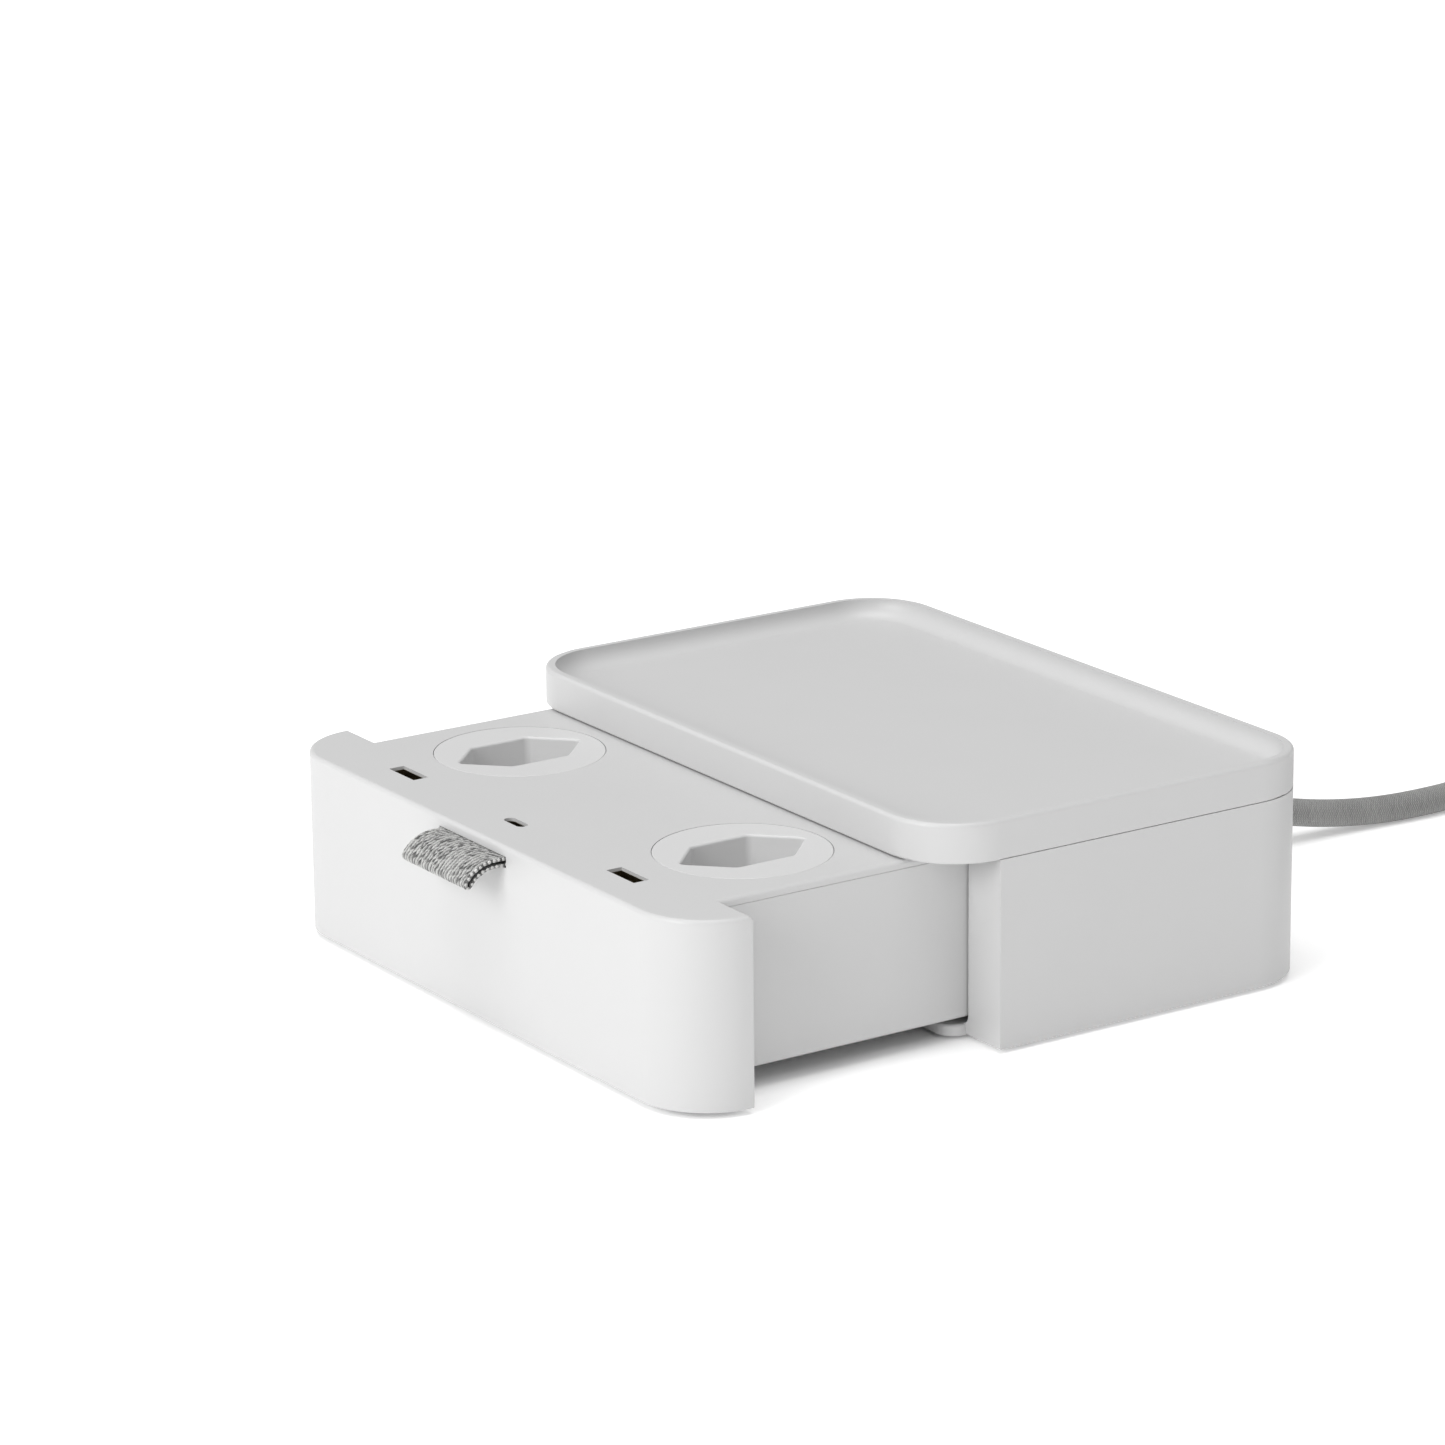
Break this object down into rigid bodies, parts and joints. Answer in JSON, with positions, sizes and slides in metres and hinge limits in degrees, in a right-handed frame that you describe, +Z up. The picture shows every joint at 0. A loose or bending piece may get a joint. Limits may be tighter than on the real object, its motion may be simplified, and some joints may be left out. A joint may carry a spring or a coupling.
{
  "type": "desk power box with drawer",
  "caption": "Desktop power box: a shallow organiser tray on a housing, and a drawer with mains sockets and USB ports that slides out by a fabric tab.",
  "frame": {"origin": "on the desk, under the middle of the object with its drawer open and without its lead", "axes": "+Z up, -Y out of the drawer's front, +Y towards the back where the lead leaves, +X to the right seen from the front"},
  "size_m": [0.2326, 0.4479, 0.0633],
  "materials": {
    "shell_plastic": "fine satin moulded plastic",
    "insert_plastic": "satin",
    "glide_plastic": "waxy",
    "dark_plastic": "matte",
    "port_plastic": "matte",
    "steel": "satin",
    "port_metal": "dark warm plating",
    "nickel": "polished",
    "brass": "satin",
    "rubber": "matte",
    "relief_rubber": "matte",
    "braid": "woven braid",
    "inner_cable": "smooth",
    "plug_plastic": "satin",
    "circuit_board": "solder mask",
    "webbing": "melange webbing"
  },
  "bodies": {
    "housing": {"housing_shell": "shell_plastic", "organiser_tray": "shell_plastic", "tray_screws": "steel", "rubber_feet": "rubber", "glide_strip_left": "glide_plastic", "glide_strip_right": "glide_plastic", "strain_relief": "relief_rubber", "cord_clamp": "dark_plastic", "clamp_screws": "steel", "mains_cord": "braid", "cord_coil": "braid", "cord_tail": "braid", "plug_body": "plug_plastic", "plug_pins": "nickel", "service_loop": "inner_cable"},
    "drawer": {"drawer_cover": "shell_plastic", "drawer_lower_shell": "shell_plastic", "cover_screws": "steel", "drawer_glide_left": "glide_plastic", "drawer_glide_right": "glide_plastic", "socket_insert_left": "insert_plastic", "socket_insert_right": "insert_plastic", "line_busbar": "brass", "earth_busbar": "brass", "neutral_busbar": "brass", "usb_a_shell_left": "port_metal", "usb_a_shell_right": "port_metal", "usb_a_tongue_left": "port_plastic", "usb_a_tongue_right": "port_plastic", "usb_a_contacts": "brass", "usb_c_shell": "port_metal", "usb_c_tongue": "port_plastic", "usb_power_board": "circuit_board", "board_components": "dark_plastic", "board_posts": "dark_plastic", "terminal_block": "dark_plastic", "drawer_grommet": "relief_rubber", "pull_tab": "webbing", "tab_clamp": "dark_plastic"}
  },
  "joints": [
    {"name": "drawer_slide", "type": "slide", "parent": "housing", "child": "drawer", "axis": [0, -1, 0], "range_m": [-0.07605, 0], "deforming": ["service_loop"]}
  ]
}
